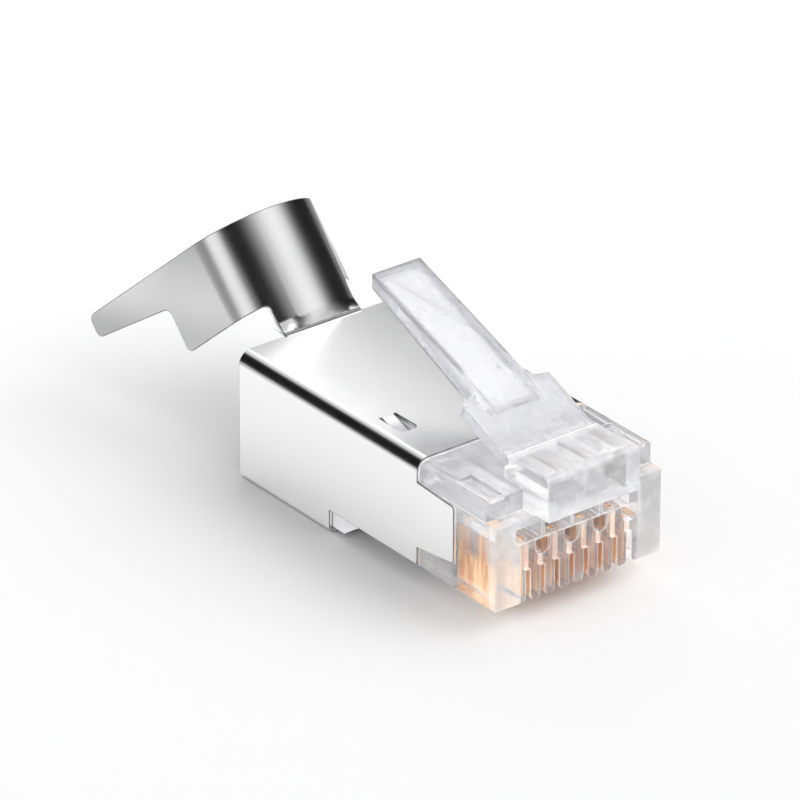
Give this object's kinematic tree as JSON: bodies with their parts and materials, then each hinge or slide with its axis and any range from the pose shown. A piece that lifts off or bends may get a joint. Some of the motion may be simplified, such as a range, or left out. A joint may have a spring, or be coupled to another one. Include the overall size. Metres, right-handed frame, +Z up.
{
  "type": "rj45 modular plug",
  "caption": "Shielded pass-through modular plug: clear moulded nose with springing latch, gold-faced blade contacts and a folded metal shield with a curled crimp tail.",
  "frame": {"origin": "on the surface the plug rests on, under the middle of its bounding box, on the plug's centre line", "axes": "+X across the plug, -Y the way the nose goes into a jack, +Y towards the cable, +Z up with the latch on top"},
  "size_m": [0.012, 0.0386, 0.0143],
  "materials": {
    "clear_plastic": "clear polycarbonate, polished",
    "plated_sheet": "nickel plated, smooth",
    "gold_contact": "gold over copper alloy"
  },
  "bodies": {
    "plug_body": {"housing": "clear_plastic", "shield": "plated_sheet", "contact_1": "gold_contact", "contact_2": "gold_contact", "contact_3": "gold_contact", "contact_4": "gold_contact", "contact_5": "gold_contact", "contact_6": "gold_contact", "contact_7": "gold_contact", "contact_8": "gold_contact"},
    "latch_lever": {"latch": "clear_plastic"}
  },
  "joints": [
    {"name": "latch_hinge", "type": "hinge", "parent": "plug_body", "child": "latch_lever", "pos_m": [0, -0.01545, 0.00885], "axis": [-1, 0, 0], "range_deg": [0, 15], "stiffness_Nm_per_rad": 0.05}
  ]
}
